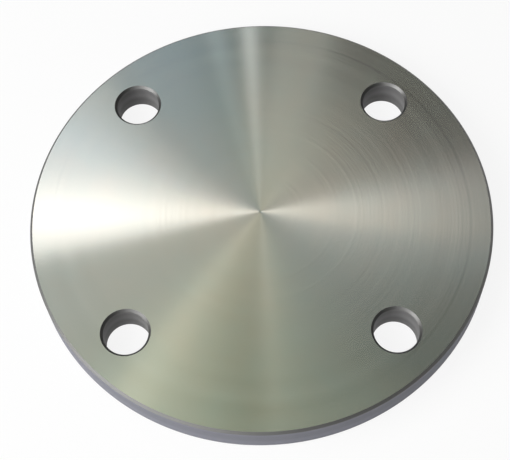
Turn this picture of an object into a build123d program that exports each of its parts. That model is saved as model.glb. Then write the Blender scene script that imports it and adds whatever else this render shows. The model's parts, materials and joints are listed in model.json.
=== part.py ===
"""Flat-faced blank flange: one turned steel disc with four bolt holes, in millimetres.

The origin is the centre of the back face, which rests on a surface. +Z is the disc's axis and
leaves by the faced side, and the bolt holes straddle the X and Y axes.
"""

import os

from build123d import *

# Driving dimensions: a DN 80 blank flange for nominal pressure 6
outer_diameter = 190.0
thickness = 14.0
bolt_hole_diameter = 18.0
bolt_hole_count = 4

# From each bolt hole's axis out to the rim, so that the metal left there keeps its width
edge_distance = 20.0
bolt_circle_diameter = outer_diameter - 2 * edge_distance

# Edge breaks, all at 45 degrees
rim_chamfer = 1.0
bolt_hole_chamfer = 1.0

# The first bolt hole lies half a pitch round from the X axis
hole_pitch_angle = 360 / bolt_hole_count
first_hole_angle = hole_pitch_angle / 2


# Half of the disc's section, as the lathe leaves it, turned about the axis
with BuildPart() as flange:
    with BuildSketch(Plane.XZ):
        with BuildLine():
            outer_radius = outer_diameter / 2
            Polyline(
                (0, 0),
                (outer_radius - rim_chamfer, 0),
                (outer_radius, rim_chamfer),
                (outer_radius, thickness - rim_chamfer),
                (outer_radius - rim_chamfer, thickness),
                (0, thickness),
                close=True,
            )
        make_face()
    revolve(axis=Axis.Z)

    # Bolt holes drilled through from the faced side
    with Locations(Plane.XY.offset(thickness)):
        with PolarLocations(
            bolt_circle_diameter / 2, bolt_hole_count, start_angle=first_hole_angle
        ):
            Hole(bolt_hole_diameter / 2)

    # Both ends of every bolt hole are countersunk a little to take off the burr
    hole_edges = flange.edges().filter_by(GeomType.CIRCLE).filter_by(
        lambda edge: abs(edge.radius - bolt_hole_diameter / 2) < 1e-6
    )
    chamfer(hole_edges, bolt_hole_chamfer)

flange.part.label = "flange"

os.makedirs("parts", exist_ok=True)
export_step(flange.part, "parts/flange.step")
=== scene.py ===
"""Looks of the blind flange: a turned steel disc on a pale floor, under soft studio lamps.

Everything is in metres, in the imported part's frame: +Z up, origin at the centre of the back face.
"""

import json
import math

import bpy
from mathutils import Matrix, Vector


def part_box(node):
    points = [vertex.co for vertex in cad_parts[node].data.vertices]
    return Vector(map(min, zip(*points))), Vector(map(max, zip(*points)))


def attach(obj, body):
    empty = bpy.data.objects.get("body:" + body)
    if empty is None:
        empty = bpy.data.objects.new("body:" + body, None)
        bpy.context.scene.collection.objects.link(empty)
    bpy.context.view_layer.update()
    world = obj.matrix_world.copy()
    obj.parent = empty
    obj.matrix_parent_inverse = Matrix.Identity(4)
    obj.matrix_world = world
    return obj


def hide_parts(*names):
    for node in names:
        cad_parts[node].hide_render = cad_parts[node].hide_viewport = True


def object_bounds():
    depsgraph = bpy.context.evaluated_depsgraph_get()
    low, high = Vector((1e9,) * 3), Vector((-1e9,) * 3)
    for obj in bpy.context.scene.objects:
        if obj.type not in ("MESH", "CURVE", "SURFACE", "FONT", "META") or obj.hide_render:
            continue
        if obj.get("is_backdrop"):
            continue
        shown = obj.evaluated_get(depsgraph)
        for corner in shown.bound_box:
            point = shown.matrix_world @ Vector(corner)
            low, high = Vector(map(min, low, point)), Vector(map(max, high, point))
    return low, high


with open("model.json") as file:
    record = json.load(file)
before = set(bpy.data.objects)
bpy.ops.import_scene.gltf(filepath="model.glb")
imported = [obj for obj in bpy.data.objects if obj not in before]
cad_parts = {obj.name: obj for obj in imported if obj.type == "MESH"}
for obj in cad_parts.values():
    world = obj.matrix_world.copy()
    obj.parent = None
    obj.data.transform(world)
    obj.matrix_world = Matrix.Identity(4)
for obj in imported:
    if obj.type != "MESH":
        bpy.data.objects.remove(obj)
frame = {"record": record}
cad_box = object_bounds()

MM = 0.001

# The flange's sizes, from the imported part
low_corner, high_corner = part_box("flange")
RADIUS = (high_corner[0] - low_corner[0]) / 2
THICKNESS = high_corner[2] - low_corner[2]
FACE_CENTRE = Vector((0, 0, THICKNESS))
bolt_circle = next(
    mount["dims"] for mount in frame["record"]["mounts"] if mount["name"] == "bolt_circle"
)
BOLT_CIRCLE_RADIUS = bolt_circle["pcd_mm"] / 2 * MM
HOLE_RADIUS = bolt_circle["hole_r_mm"] * MM
HOLE_COUNT = bolt_circle["count"]

# Edges of the rim and the holes: a chamfer at CHAMFER_ANGLE degrees, whose two corners are just
# broken by an arc. CORNER_RUN is the length of edge that each end of such an arc takes up.
CHAMFER = 1.0 * MM
CHAMFER_ANGLE = 45
CORNER_ROUND = 0.15 * MM
CORNER_RUN = CORNER_ROUND * math.tan(math.radians(CHAMFER_ANGLE / 2))
FLAT_RADIUS = RADIUS - CHAMFER - CORNER_RUN
FLAT_HOLE_RADIUS = HOLE_RADIUS + CHAMFER + CORNER_RUN

# Grid of the two faces: columns round the axis, and rings outwards. A cell of it is left out round
# each bolt hole, and rings round the hole fill that cell.
COLUMNS = 256
CELL_COLUMNS = 16
CELL_RINGS = 16
INNER_RINGS = 10
OUTER_RINGS = 2
HOLE_RINGS = 3
COLUMNS_PER_HOLE = COLUMNS // HOLE_COUNT
FIRST_CELL_COLUMN = (COLUMNS_PER_HOLE - CELL_COLUMNS) // 2
CELL_HALF_ANGLE = CELL_COLUMNS / 2 * math.tau / COLUMNS
CELL_HALF_DEPTH = BOLT_CIRCLE_RADIUS * math.tan(CELL_HALF_ANGLE)

# Rows down the straight part of a wall, and steps round each broken corner
WALL_ROWS = 4
CORNER_STEPS = 3

# The dimple that the facing tool leaves where it reaches the axis
DIMPLE_RADIUS = 0.7 * MM
DIMPLE_DEPTH = 0.12 * MM

# The places of the surfaces on the UV map, whose U runs across the lay of the tool marks and V
# along it. One unit of U is UV_SCALE metres of surface on them all, and a face takes FACE_WIDTH_U
# from its centre to its edge. The holes share V, each with a margin on both sides.
UV_MAP = "OFBake"
FACE_WIDTH_U = 0.42
UV_SCALE = RADIUS / FACE_WIDTH_U
TOP_U, BACK_U, RIM_U, HOLE_U = 0.005, 0.435, 0.865, 0.933
HOLE_MARGIN_V = 0.05

# The finishes' places among the mesh's materials
FACE, BACK, EDGE, RIM, HOLE = range(5)


class Surface:
    """Points with their exact normals, and faces with a finish and a UV for each corner."""

    def __init__(self):
        self.points, self.normals = [], []
        self.faces, self.finishes, self.uvs = [], [], []

    def point(self, place, normal):
        self.points.append(tuple(place))
        self.normals.append(tuple(normal))
        return len(self.points) - 1

    def face(self, corners, finish, uvs, flip=False):
        if flip:
            corners, uvs = corners[::-1], uvs[::-1]
        self.faces.append(corners)
        self.finishes.append(finish)
        self.uvs.extend(uvs)

    def mesh(self, name):
        mesh = bpy.data.meshes.new(name)
        mesh.from_pydata(self.points, [], self.faces)
        mesh.polygons.foreach_set("material_index", self.finishes)
        mesh.polygons.foreach_set("use_smooth", [True] * len(self.faces))
        layer = mesh.uv_layers.new(name=UV_MAP)
        layer.data.foreach_set("uv", [value for uv in self.uvs for value in uv])
        mesh.normals_split_custom_set_from_vertices(self.normals)
        mesh.update()
        return mesh


class Face:
    """One of the two faces, as a polar grid with a dimple, open at the bolt holes."""

    def __init__(self, surface, height, upward, finish, first_u):
        self.surface, self.height, self.upward = surface, height, upward
        self.finish, self.first_u = finish, first_u
        self.radii = self.ring_radii()
        self.grid = {}
        self.add_grid()
        self.add_dimple()
        self.rim_loop = [self.grid[len(self.radii) - 1, column] for column in range(COLUMNS)]
        self.hole_loops = [self.add_hole(number) for number in range(HOLE_COUNT)]

    def ring_radii(self):
        """The radii of the grid's rings, from the dimple out to the rim's broken corner."""
        stops = [
            (DIMPLE_RADIUS, INNER_RINGS),
            (BOLT_CIRCLE_RADIUS - CELL_HALF_DEPTH, CELL_RINGS),
            (BOLT_CIRCLE_RADIUS + CELL_HALF_DEPTH, OUTER_RINGS),
            (FLAT_RADIUS, 0),
        ]
        radii = []
        for (start, rings), (end, _) in zip(stops, stops[1:]):
            radii += [start + (end - start) * k / rings for k in range(rings)]
        return radii + [FLAT_RADIUS]

    def point(self, x, y):
        return self.surface.point((x, y, self.height), (0, 0, self.upward))

    def add(self, corners):
        """A piece of the face, whose UVs are each corner's radius and its angle.

        The angles are taken near that of the piece's middle, so that none jumps a whole turn.
        """
        places = [self.surface.points[corner] for corner in corners]
        middle = sum((Vector(place) for place in places), Vector())
        near = math.atan2(middle.y, middle.x) % math.tau
        uvs = []
        for x, y, _ in places:
            angle = math.atan2(y, x) if x or y else near
            angle += math.tau * round((near - angle) / math.tau)
            uvs.append((self.first_u + math.hypot(x, y) / UV_SCALE, angle / math.tau))
        self.surface.face(corners, self.finish, uvs, flip=self.upward < 0)

    def in_cell(self, ring, column, border_stays):
        """Whether a grid point, or the quad after it, falls to the cell of a bolt hole.

        border_stays is for points, because those on the cell's border belong to the grid.
        """
        ring -= INNER_RINGS
        column = (column - FIRST_CELL_COLUMN) % COLUMNS_PER_HOLE
        first = 1 if border_stays else 0
        return first <= ring < CELL_RINGS and first <= column < CELL_COLUMNS

    def add_grid(self):
        grid = self.grid
        for ring, radius in enumerate(self.radii):
            for column in range(COLUMNS):
                if not self.in_cell(ring, column, border_stays=True):
                    angle = math.tau * column / COLUMNS
                    grid[ring, column] = self.point(radius * math.cos(angle), radius * math.sin(angle))
        for ring in range(len(self.radii) - 1):
            for column in range(COLUMNS):
                if not self.in_cell(ring, column, border_stays=False):
                    after = (column + 1) % COLUMNS
                    places = ((ring, column), (ring + 1, column), (ring + 1, after), (ring, after))
                    self.add([grid[place] for place in places])

    def add_dimple(self):
        """A shallow cone in the middle, with a crease round it."""
        tip_height = self.height - self.upward * DIMPLE_DEPTH
        tip = self.surface.point((0, 0, tip_height), (0, 0, self.upward))
        slope = math.atan2(DIMPLE_DEPTH, DIMPLE_RADIUS)
        crease = []
        for column in range(COLUMNS):
            x, y, z = self.surface.points[self.grid[0, column]]
            inward = Vector((-x, -y)).normalized() * math.sin(slope)
            crease.append(self.surface.point((x, y, z), (*inward, math.cos(slope) * self.upward)))
        for column in range(COLUMNS):
            self.add([tip, crease[column], crease[(column + 1) % COLUMNS]])

    def add_hole(self, number):
        """Fills a cell round its bolt hole, and returns the loop of points at the hole."""
        start = FIRST_CELL_COLUMN + number * COLUMNS_PER_HOLE
        end = start + CELL_COLUMNS
        low, high = INNER_RINGS, INNER_RINGS + CELL_RINGS
        # The cell's border, clockwise from above, of which the points are taken the other way round
        around = [(low, start + k) for k in range(CELL_COLUMNS)]
        around += [(low + k, end) for k in range(CELL_RINGS)]
        around += [(high, end - k) for k in range(CELL_COLUMNS)]
        around += [(high - k, start) for k in range(CELL_RINGS)]
        outer = [self.grid[place] for place in reversed(around)]
        centre = hole_centre(number)
        edge = [Vector(self.surface.points[index][:2]) - centre for index in outer]
        for ring in range(1, HOLE_RINGS + 1):
            share = ring / HOLE_RINGS
            places = [centre + arm.lerp(arm.normalized() * FLAT_HOLE_RADIUS, share) for arm in edge]
            inner = [self.point(place.x, place.y) for place in places]
            for k in range(len(outer)):
                after = (k + 1) % len(outer)
                self.add([outer[k], outer[after], inner[after], inner[k]])
            outer = inner
        return outer


def hole_centre(number):
    """Centre of a bolt hole, half a pitch round from the X axis and on."""
    angle = (number + 0.5) * math.tau / HOLE_COUNT
    return Vector((math.cos(angle), math.sin(angle))) * BOLT_CIRCLE_RADIUS


def wall_section():
    """Places and normals down a chamfered wall, each as (inset, height, outward, upward).

    inset is measured from the wall into the metal, and height from the back face.
    """
    # The centre of each broken corner's arc, and the angle from upright at which its arc starts
    arcs = [
        (CHAMFER + CORNER_RUN, THICKNESS - CORNER_ROUND, 0),
        (CORNER_ROUND, THICKNESS - CHAMFER - CORNER_RUN, CHAMFER_ANGLE),
        (CORNER_ROUND, CHAMFER + CORNER_RUN, 90),
        (CHAMFER + CORNER_RUN, CORNER_ROUND, 90 + CHAMFER_ANGLE),
    ]
    section = []
    for inset, height, first_angle in arcs:
        # The straight part of the wall comes before the third arc
        if first_angle == 90:
            top = section[-1][1]
            section += [(0, top + (height - top) * k / WALL_ROWS, 1, 0) for k in range(1, WALL_ROWS)]
        for k in range(CORNER_STEPS + 1):
            angle = math.radians(first_angle + CHAMFER_ANGLE * k / CORNER_STEPS)
            out, up = math.sin(angle), math.cos(angle)
            section.append((inset - CORNER_ROUND * out, height + CORNER_ROUND * up, out, up))
    return section


def add_wall(surface, top_loop, back_loop, centre, radius, side, finish, first_u, first_v, length_v):
    """A chamfered wall round centre, between the edges of the two faces.

    side is 1 where the metal lies inside the wall, as at the rim, and -1 round a hole. The wall's
    UVs start from first_u and first_v, and go length_v round.
    """
    section = wall_section()
    arms = [(Vector(surface.points[index][:2]) - centre).normalized() for index in top_loop]
    loops = [top_loop]
    for inset, height, out, up in section[1:-1]:
        loop = []
        for arm in arms:
            place = centre + arm * (radius - side * inset)
            turned = arm * out * side
            loop.append(surface.point((*place, height), (*turned, up)))
        loops.append(loop)
    loops.append(back_loop)

    v = [first_v + length_v * k / len(arms) for k in range(len(arms) + 1)]
    upper_u = first_u
    for row in range(len(section) - 1):
        (inset, height, out, _), (next_inset, next_height, next_out, _) = section[row:row + 2]
        upper, lower = loops[row:row + 2]
        lower_u = upper_u + math.hypot(next_inset - inset, next_height - height) / UV_SCALE
        row_finish = finish if out == next_out == 1 else EDGE
        for k in range(len(arms)):
            after = (k + 1) % len(arms)
            corners = [upper[k], lower[k], lower[after], upper[after]]
            uvs = [(upper_u, v[k]), (lower_u, v[k]), (lower_u, v[k + 1]), (upper_u, v[k + 1])]
            surface.face(corners, row_finish, uvs, flip=side < 0)
        upper_u = lower_u


def flange_mesh():
    surface = Surface()
    top = Face(surface, height=THICKNESS, upward=1, finish=FACE, first_u=TOP_U)
    back = Face(surface, height=0, upward=-1, finish=BACK, first_u=BACK_U)
    add_wall(
        surface, top.rim_loop, back.rim_loop, centre=Vector((0, 0)), radius=RADIUS, side=1,
        finish=RIM, first_u=RIM_U, first_v=0, length_v=1,
    )
    for number, (top_loop, back_loop) in enumerate(zip(top.hole_loops, back.hole_loops)):
        add_wall(
            surface, top_loop, back_loop, centre=hole_centre(number), radius=HOLE_RADIUS, side=-1,
            finish=HOLE, first_u=HOLE_U, first_v=(number + HOLE_MARGIN_V) / HOLE_COUNT,
            length_v=(1 - 2 * HOLE_MARGIN_V) / HOLE_COUNT,
        )
    return surface.mesh("turned_flange")


class Nodes:
    """Short calls for making and linking the shader nodes of one tree."""

    def __init__(self, tree):
        self.tree = tree

    def make(self, kind, values=(), **settings):
        """A node whose inputs take the values, by name or number, as constants or links."""
        made = self.tree.nodes.new("ShaderNode" + kind)
        for name, setting in settings.items():
            setattr(made, name, setting)
        for name, value in dict(values).items():
            if isinstance(value, bpy.types.NodeSocket):
                self.tree.links.new(value, made.inputs[name])
            else:
                made.inputs[name].default_value = value
        return made

    def math(self, operation, *values):
        return self.make("Math", enumerate(values), operation=operation).outputs[0]

    def scaled(self, value, low, high):
        """A value from 0 to 1 brought to the range from low to high."""
        return self.math("MULTIPLY_ADD", value, high - low, low)

    def clouds(self, place, size):
        """Noise in soft clouds of about the size."""
        values = {"Vector": place, "Scale": 1 / size, "Detail": 2.0}
        return self.make("TexNoise", values).outputs["Fac"]

    def rings(self, across, pitch):
        """Noise that only changes across the lay, with one wave about every pitch."""
        values = {"W": across, "Scale": 1 / pitch, "Detail": 1.0}
        return self.make("TexNoise", values, noise_dimensions="1D").outputs["Fac"]

    def mix(self, share, first, second, blend="MIX"):
        made = self.make("Mix", data_type="RGBA", blend_type=blend)
        for name, value in (("Factor_Float", share), ("A_Color", first), ("B_Color", second)):
            socket = next(s for s in made.inputs if s.identifier == name)
            if isinstance(value, bpy.types.NodeSocket):
                self.tree.links.new(value, socket)
            else:
                socket.default_value = value
        return next(s for s in made.outputs if s.identifier == "Result_Color")


# Sizes of the clouds and of the wider rings in the metal, and how far each of them takes the
# roughness, as a share of its spread
CLOUD_SIZE = 20 * MM
BAND_PITCH = 6 * MM
STRAY = 0.6

# A normal map's colour, in red and green, where the surface doesn't lean
NO_LEAN = 0.5


def machined(name, tints, darkest, roughness, spread, anisotropic, metallic, specular, pitch, tilt):
    """Metal with the marks of a cutting tool.

    tints are two colours that change over in soft clouds. Rings of the lay shade them, from darkest
    times as bright to as much over 1. spread is how far the roughness strays. pitch is that of the
    tool marks, and tilt how steep they are, as a slope across the lay.
    """
    material = bpy.data.materials.new(name)
    material.use_nodes = True
    nodes = Nodes(material.node_tree)
    shader = nodes.tree.nodes["Principled BSDF"]
    place = nodes.make("TexCoord").outputs["Object"]
    lay = nodes.make("UVMap", uv_map=UV_MAP).outputs["UV"]
    across = nodes.math("MULTIPLY", nodes.make("SeparateXYZ", {0: lay}).outputs[0], UV_SCALE)

    clouds = nodes.clouds(place, CLOUD_SIZE)
    bands = nodes.rings(across, BAND_PITCH)
    marks = nodes.rings(across, pitch)

    tint = nodes.mix(clouds, (*tints[0], 1), (*tints[1], 1))
    shade = nodes.scaled(bands, darkest, 2 - darkest)
    shades = nodes.make("CombineColor", {0: shade, 1: shade, 2: shade}).outputs[0]
    colour = nodes.mix(1.0, tint, shades, blend="MULTIPLY")
    nodes.tree.links.new(colour, shader.inputs["Base Color"])

    strays = [nodes.scaled(noise, -STRAY, STRAY) for noise in (bands, clouds)]
    unevenness = nodes.math("ADD", *strays)
    rough = nodes.math("MULTIPLY_ADD", unevenness, spread, roughness)
    nodes.tree.links.new(rough, shader.inputs["Roughness"])

    # A tangent space normal that only leans across the lay
    lean = nodes.scaled(marks, NO_LEAN - tilt, NO_LEAN + tilt)
    leaning = nodes.make("CombineColor", {0: lean, 1: NO_LEAN, 2: 1.0}).outputs[0]
    normal = nodes.make("NormalMap", {"Color": leaning}, uv_map=UV_MAP)
    nodes.tree.links.new(normal.outputs[0], shader.inputs["Normal"])

    tangent = nodes.make("Tangent", direction_type="UV_MAP", uv_map=UV_MAP)
    nodes.tree.links.new(tangent.outputs[0], shader.inputs["Tangent"])
    shader.inputs["Anisotropic"].default_value = anisotropic
    shader.inputs["Metallic"].default_value = metallic
    shader.inputs["Specular IOR Level"].default_value = specular
    return material


def finishes():
    """The materials, in the order of FACE, BACK, EDGE, RIM and HOLE."""
    bright = ((0.550, 0.552, 0.505), (0.503, 0.567, 0.540))
    # The chamfers are painted shade: the face's steel, painted much darker so that they mirror the
    # lamps and walls more dimly.
    edge = ((0.205, 0.20, 0.195), (0.19, 0.195, 0.19))
    # The rim is painted shade: a dark blue-grey, far darker than the face's steel, that stands in for
    # the dark surroundings a turned rim mirrors.
    rim = ((0.195, 0.19, 0.225), (0.175, 0.185, 0.21))
    # The holes' walls are painted shade: dark grey that stands in for the shade inside the bores,
    # where they would mirror the pale floor.
    hole = ((0.19, 0.185, 0.18), (0.175, 0.175, 0.18))
    return (
        machined(
            "turned_face", bright, darkest=0.97, roughness=0.165, spread=0.014, anisotropic=1.0,
            metallic=1.0, specular=0.5, pitch=1.2 * MM, tilt=0.007,
        ),
        machined(
            "turned_back", bright, darkest=0.90, roughness=0.26, spread=0.015, anisotropic=0.9,
            metallic=1.0, specular=0.5, pitch=1.5 * MM, tilt=0.02,
        ),
        machined(
            "cut_edge", edge, darkest=0.85, roughness=0.50, spread=0.03, anisotropic=0.3,
            metallic=1.0, specular=0.5, pitch=0.8 * MM, tilt=0.01,
        ),
        machined(
            "turned_rim", rim, darkest=0.85, roughness=0.5, spread=0.04, anisotropic=0.5,
            metallic=0.05, specular=0.1, pitch=1.0 * MM, tilt=0.03,
        ),
        machined(
            "drilled_hole", hole, darkest=0.7, roughness=0.5, spread=0.05, anisotropic=0.4,
            metallic=0.05, specular=0.2, pitch=1.0 * MM, tilt=0.03,
        ),
    )


def add_object(name, data):
    made = bpy.data.objects.new(name, data)
    bpy.context.scene.collection.objects.link(made)
    return made


def direction(azimuth, elevation):
    """The unit vector at an azimuth, anticlockwise from +X, and an elevation, both in degrees."""
    turn, rise = math.radians(azimuth), math.radians(elevation)
    return Vector((math.cos(turn) * math.cos(rise), math.sin(turn) * math.cos(rise), math.sin(rise)))


# The camera stands, aims and rolls as the photograph's did. Its angles are in degrees, and its
# focal length is in millimetres.
CAMERA_AZIMUTH = 272.4
CAMERA_ELEVATION = 61.6
CAMERA_DISTANCE = 496 * MM
CAMERA_AIM = Vector((-2.3, -8.5, 0)) * MM + FACE_CENTRE
CAMERA_ROLL = -3.35
CAMERA_LENS = 85.2
CAMERA_NEAR = 10 * MM

to_camera = direction(CAMERA_AZIMUTH, CAMERA_ELEVATION)


def add_camera():
    data = bpy.data.cameras.new("camera")
    data.lens = CAMERA_LENS
    data.clip_start = CAMERA_NEAR
    camera = add_object("camera", data)
    place = FACE_CENTRE + to_camera * CAMERA_DISTANCE
    turn = (place - CAMERA_AIM).to_track_quat("Z", "Y").to_matrix()
    roll = Matrix.Rotation(math.radians(CAMERA_ROLL), 3, "Z")
    camera.matrix_world = Matrix.LocRotScale(place, (turn @ roll).to_quaternion(), None)
    bpy.context.scene.camera = camera


# Floor: pale, a hair below the flange, with light of its own for the camera and for whatever
# reflects it
FLOOR_REACH = 8.0
FLOOR_DROP = 0.2 * MM
FLOOR_COLOUR = (0.9, 0.9, 0.9, 1)
FLOOR_GLOW = 0.88


def add_floor():
    material = bpy.data.materials.new("pale_floor")
    material.use_nodes = True
    nodes = Nodes(material.node_tree)
    nodes.tree.nodes.clear()
    path = nodes.make("LightPath").outputs
    mirrored = nodes.math("MAXIMUM", path["Is Glossy Ray"], path["Is Transmission Ray"])
    seen = nodes.math("MAXIMUM", path["Is Camera Ray"], mirrored)
    share = nodes.math("MULTIPLY", seen, FLOOR_GLOW)
    paint = nodes.make("BsdfDiffuse", {"Color": FLOOR_COLOUR}).outputs[0]
    glow = nodes.make("Emission", {"Strength": 1.0}).outputs[0]
    mixed = nodes.make("MixShader", {0: share, 1: paint, 2: glow}).outputs[0]
    nodes.make("OutputMaterial", {"Surface": mixed})
    mesh = bpy.data.meshes.new("floor")
    signs = ((-1, -1), (1, -1), (1, 1), (-1, 1))
    corners = [(x * FLOOR_REACH, y * FLOOR_REACH, 0) for x, y in signs]
    mesh.from_pydata(corners, [], [range(len(corners))])
    mesh.materials.append(material)
    floor = add_object("floor", mesh)
    floor.location.z = -FLOOR_DROP
    floor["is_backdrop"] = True


# The studio's walls are pale up to a little above the floor's horizon, and dim over that. Heights
# are sines of the elevation.
WALL_COLOUR = (0.9, 0.9, 0.9, 1)
DIM_COLOUR = (0.03, 0.03, 0.03, 1)
WALL_TOP, DIM_BOTTOM = 0.04, 0.16


def add_studio():
    world = bpy.data.worlds.new("studio")
    world.use_nodes = True
    nodes = Nodes(world.node_tree)
    toward = nodes.make("TexCoord").outputs["Generated"]
    height = nodes.make("SeparateXYZ", {0: toward}).outputs[2]
    edges = {"Value": height, "From Min": WALL_TOP, "From Max": DIM_BOTTOM}
    dimming = nodes.make("MapRange", edges, interpolation_type="SMOOTHSTEP").outputs[0]
    colour = nodes.mix(dimming, WALL_COLOUR, DIM_COLOUR)
    nodes.tree.links.new(colour, nodes.tree.nodes["Background"].inputs["Color"])
    bpy.context.scene.world = world


# The softboxes stand on a dome round the turned face. Seen from above, with the dome's radius as
# 1, each lays a streak on the face along the line from the camera's mirror image to the softbox.
# LOWEST is the least height that a softbox has, in the same measure, before it is brought onto
# the dome.
DOME_RADIUS = 1.2
MIRROR_IMAGE = Vector((-to_camera.x, -to_camera.y))
LOWEST = 0.2

# Name, azimuth of its streak in degrees, how far it stands from the mirror image, its size along
# and across the streak in metres, its side of the streak's line (0 is on it, 1 and -1 beside it,
# anticlockwise or clockwise), and its radiance. The last two light the rim and the holes.
SOFTBOXES = (
    ("window", 185, 0.34, 0.71, 0.60, -0.2, (0.26, 0.245, 0.285)),
    ("sill", 191, 0.31, 0.55, 0.07, -0.5, (1.7, 1.52, 1.5)),
    ("bar", 177, 0.13, 0.88, 0.07, 0, (0.72, 0.60, 0.48)),
    ("soft", 196.5, 0.33, 0.53, 0.83, 0, (0.245, 0.285, 0.25)),
    ("front", 262, 0.48, 0.80, 0.53, 0.1, (0.25, 0.28, 0.22)),
    ("slit", 237, 0.31, 0.77, 0.075, -0.35, (0.32, 0.27, 0.19)),
    ("blue", 135, 0.28, 0.51, 0.42, 0, (0.08, 0.12, 0.165)),
    ("back", 83, 0.15, 0.50, 0.09, -0.85, (0.40, 0.38, 0.36)),
    ("low", 278, 0.38, 0.88, 0.38, 1, (0.105, 0.112, 0.085)),
    ("thread", 93.5, 0.14, 1.09, 0.02, 0, (0.42, 0.36, 0.30)),
    ("right", 9, 0.17, 0.42, 0.18, -0.7, (0.225, 0.24, 0.27)),
    ("glow", 86, 0.10, 0.40, 0.24, -0.2, (0.04, 0.035, 0.045)),
    ("over", 270.5, 0.18, 0.98, 0.32, -0.7, (0.03, 0.045, 0.01)),
    ("beam", 167.5, 0.38, 0.66, 0.20, 0.6, (0.37, 0.39, 0.54)),
    ("left", 224.5, 0.20, 0.40, 0.96, -0.5, (0.147, 0.12, 0.08)),
    ("nook", 114, 0.22, 0.52, 0.145, 0.5, (0.13, 0.18, 0.21)),
    ("pane", 104.5, 0.32, 0.40, 0.03, 1, (1.0, 1.1, 1.2)),
    ("line", 94, 0.32, 0.60, 0.018, 0, (1.15, 1.2, 1.3)),
    ("key", 226, 1.05, 0.80, 0.80, 0, (6.4, 6.4, 6.4)),
    ("fill", 260, 1.05, 0.80, 0.80, 0, (2.3, 2.3, 2.3)),
)

# A long card, low at the front left, that lights the near side of the rim. Its angles are in
# degrees, seen from the middle of the back face.
CARD_AZIMUTH, CARD_ELEVATION = 235, 8
CARD_LENGTH, CARD_WIDTH = 1.2, 0.3
CARD_RADIANCE = (3.0, 3.0, 3.0)


def add_lamp(name, length, width, radiance, place, turn):
    """A rectangular lamp that the camera doesn't see. Its radiance is in red, green and blue."""
    data = bpy.data.lights.new(name, "AREA")
    data.shape = "RECTANGLE"
    data.size, data.size_y = length, width
    level = max(radiance)
    data.color = [value / level for value in radiance]
    data.energy = level * math.pi * length * width
    lamp = add_object(name, data)
    lamp.matrix_world = Matrix.LocRotScale(place, turn, None)
    lamp.visible_camera = False


def add_softbox(name, streak, reach, length, width, side, radiance):
    angle = math.radians(streak)
    along = Vector((math.cos(angle), math.sin(angle)))
    beside = Vector((-along.y, along.x)) * side * width / 2 / DOME_RADIUS
    flat = MIRROR_IMAGE + along * reach + beside
    toward = Vector((*flat, math.sqrt(max(LOWEST ** 2, 1 - flat.length_squared)))).normalized()
    long_side = Vector((*along, 0))
    long_side = (long_side - long_side.dot(toward) * toward).normalized()
    turn = Matrix((long_side, toward.cross(long_side), toward)).transposed().to_quaternion()
    add_lamp(name, length, width, radiance, FACE_CENTRE + toward * DOME_RADIUS, turn)


def add_card():
    toward = direction(CARD_AZIMUTH, CARD_ELEVATION)
    turn = toward.to_track_quat("Z", "Y")
    add_lamp("card", CARD_LENGTH, CARD_WIDTH, CARD_RADIANCE, toward * DOME_RADIUS, turn)


flange = add_object("turned_flange", flange_mesh())
for finish in finishes():
    flange.data.materials.append(finish)
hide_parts("flange")
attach(flange, "root")

add_camera()
add_floor()
add_studio()
for softbox in SOFTBOXES:
    add_softbox(*softbox)
add_card()
bpy.context.scene.view_settings.view_transform = "Standard"

boxes = {"cad": cad_box, "visual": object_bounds()}
plain = {name: [[float(v) for v in corner] for corner in box] for name, box in boxes.items()}
